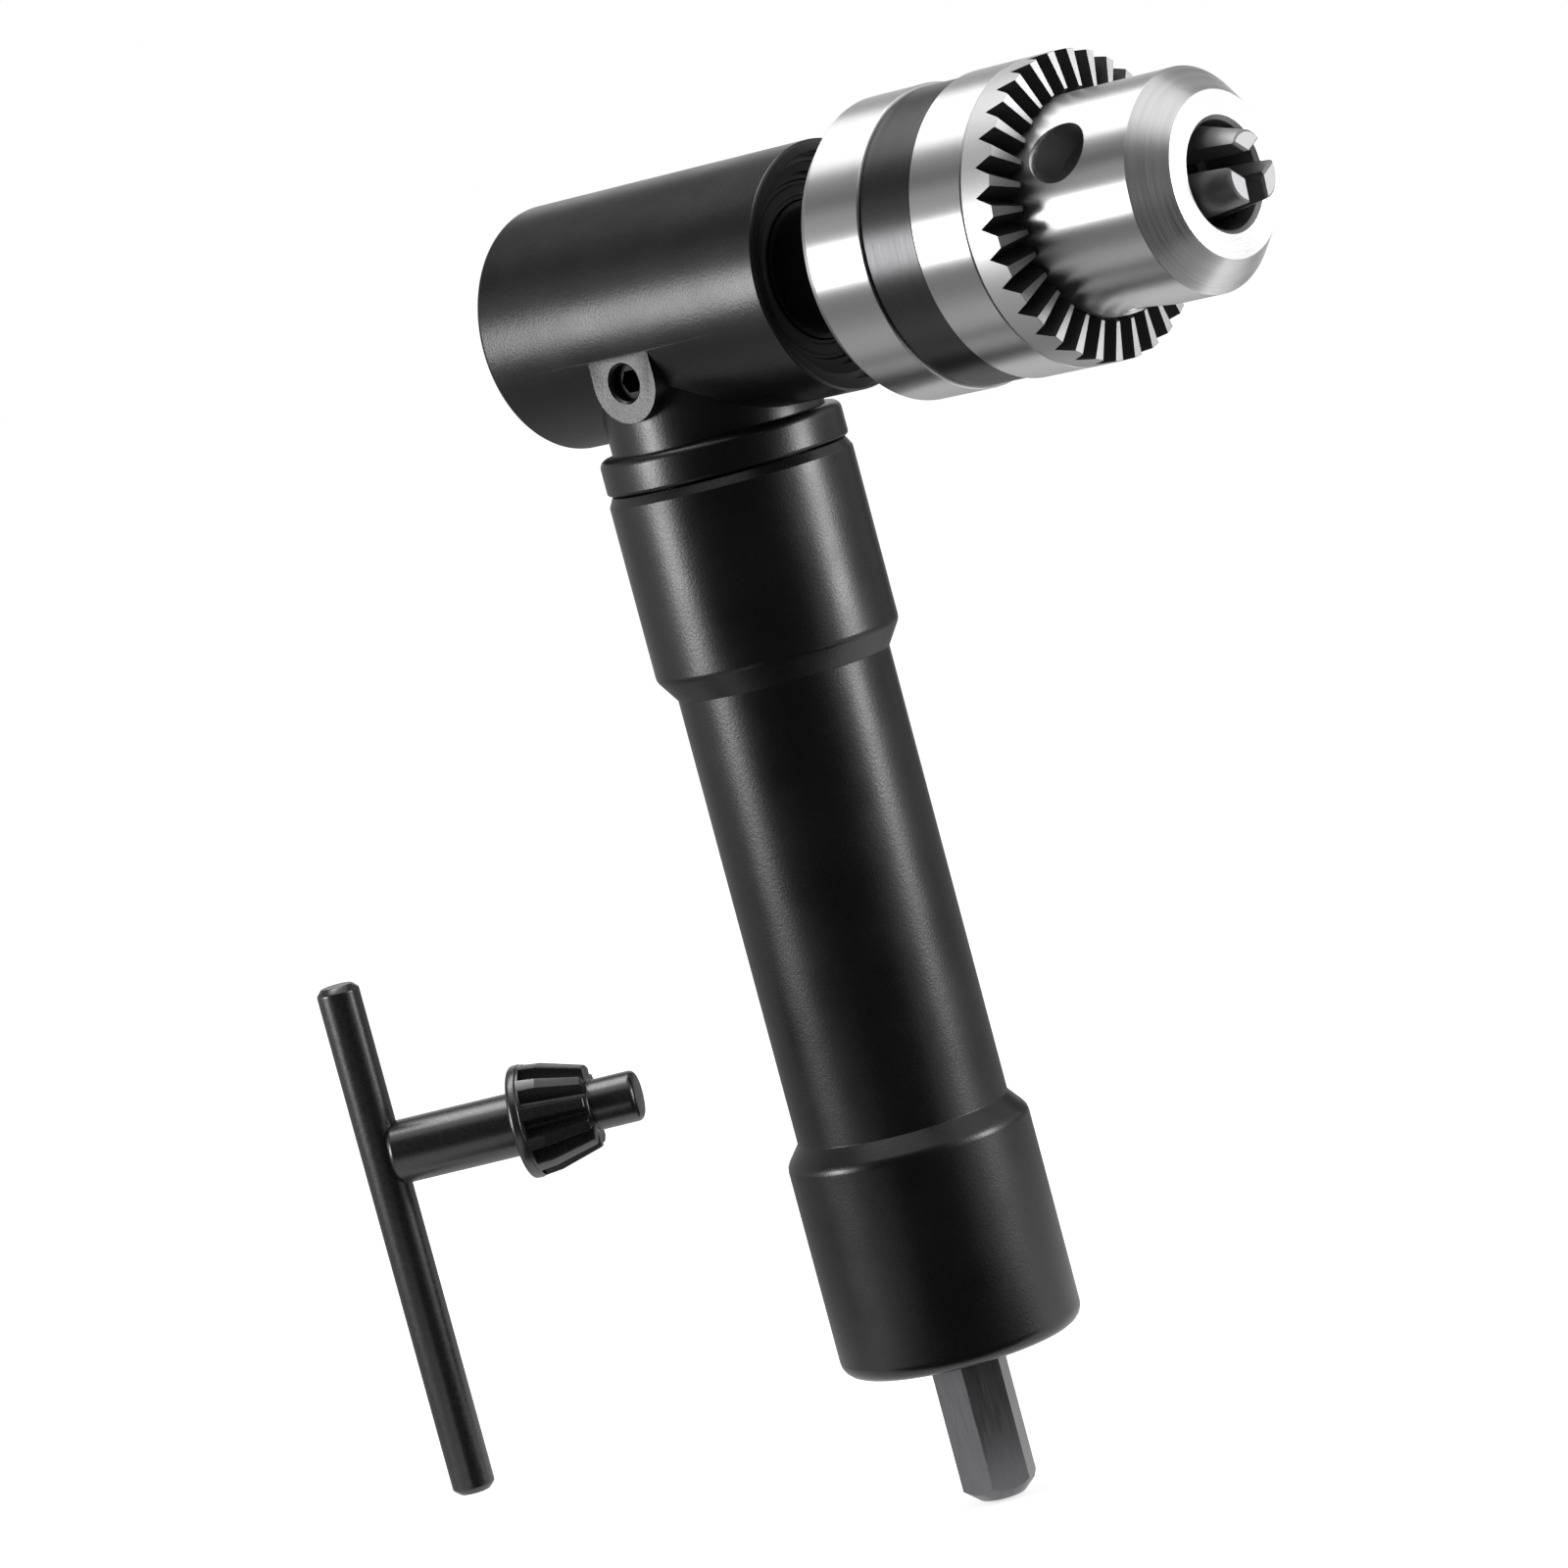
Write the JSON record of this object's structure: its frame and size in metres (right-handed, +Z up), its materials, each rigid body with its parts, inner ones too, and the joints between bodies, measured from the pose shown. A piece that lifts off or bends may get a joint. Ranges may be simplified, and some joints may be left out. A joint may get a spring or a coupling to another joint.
{
  "type": "right angle drill attachment",
  "caption": "Right-angle attachment for a drill: hex shank, round handle, crosswise head with a keyed jaw chuck, and a loose chuck key beside it.",
  "frame": {"origin": "centre of the flat end of the hex shank, on the input axis", "axes": "+Z up along the handle and input shaft, +X forward along the chuck axis"},
  "size_m": [0.1298, 0.0587, 0.1594],
  "materials": {
    "black_paint": "satin, fine orange peel",
    "black_oxide": "satin black oxide on steel",
    "shaft_steel": "dark satin",
    "gear_steel": "machined",
    "bearing_steel": "polished",
    "bright_steel": "turned, bright"
  },
  "bodies": {
    "housing": {"head_housing": "black_paint", "collar_ring": "black_paint", "handle_tube": "black_paint", "lug_set_screw": "black_oxide", "front_circlip": "black_oxide", "front_bearing_outer_ring": "bearing_steel", "rear_bearing_outer_ring": "bearing_steel", "upper_bearing_circlip": "black_oxide", "upper_bearing_outer_ring": "bearing_steel", "lower_bearing_outer_ring": "bearing_steel", "lower_bearing_circlip": "black_oxide"},
    "shaft": {"input_shaft": "shaft_steel", "drive_pinion": "gear_steel", "pinion_cross_pin": "gear_steel", "spacer_sleeve": "gear_steel", "upper_bearing_inner_ring": "bearing_steel", "upper_bearing_balls": "bearing_steel", "lower_bearing_inner_ring": "bearing_steel", "lower_bearing_balls": "bearing_steel"},
    "chuck": {"output_spindle": "shaft_steel", "driven_bevel_gear": "gear_steel", "gear_cross_pin": "gear_steel", "front_bearing_inner_ring": "bearing_steel", "front_bearing_balls": "bearing_steel", "rear_bearing_inner_ring": "bearing_steel", "rear_bearing_balls": "bearing_steel", "chuck_body": "bright_steel", "dark_ring": "black_oxide", "retaining_screw": "black_oxide", "thrust_washer": "gear_steel"},
    "sleeve": {"toothed_sleeve": "bright_steel", "split_nut_near_half": "gear_steel", "split_nut_far_half": "gear_steel"},
    "jaw_body_1": {"jaw_1": "bright_steel"},
    "jaw_body_2": {"jaw_2": "bright_steel"},
    "jaw_body_3": {"jaw_3": "bright_steel"},
    "key": {"key_shaft": "black_oxide", "key_cross_bar": "black_oxide"}
  },
  "joints": [
    {"name": "chuck_spin", "type": "hinge", "parent": "housing", "child": "chuck", "pos_m": [0, 0, 0.1424], "axis": [1, 0, 0], "continuous": true},
    {"name": "shaft_spin", "type": "hinge", "parent": "housing", "child": "shaft", "pos_m": [0, 0, 0], "axis": [0, 0, 1], "continuous": true},
    {"name": "sleeve_turn", "type": "hinge", "parent": "chuck", "child": "sleeve", "pos_m": [0, 0, 0.1424], "axis": [1, 0, 0], "range_deg": [-795, 3166.7]},
    {"name": "jaw_1_slide", "type": "slide", "parent": "chuck", "child": "jaw_body_1", "axis": [0.9703, -0.0169, -0.2413], "range_m": [-0.01405, 0.00351]},
    {"name": "jaw_2_slide", "type": "slide", "parent": "chuck", "child": "jaw_body_2", "axis": [0.9703, 0.2174, 0.1061], "range_m": [-0.01407, 0.00353]},
    {"name": "jaw_3_slide", "type": "slide", "parent": "chuck", "child": "jaw_body_3", "axis": [0.9703, -0.2006, 0.1353], "range_m": [-0.01407, 0.00353]},
    {"name": "key_slide", "type": "slide", "parent": "housing", "child": "key", "axis": [-0.8387, -0.5446, 0], "range_m": [0, 0.05]}
  ],
  "couplings": [
    {"joint": "shaft_spin", "follows": "chuck_spin", "ratio": 1},
    {"joint": "sleeve_turn", "follows": "jaw_1_slide", "rad_per_m": -3927},
    {"joint": "jaw_2_slide", "follows": "jaw_1_slide", "ratio": 1},
    {"joint": "jaw_3_slide", "follows": "jaw_1_slide", "ratio": 1}
  ]
}
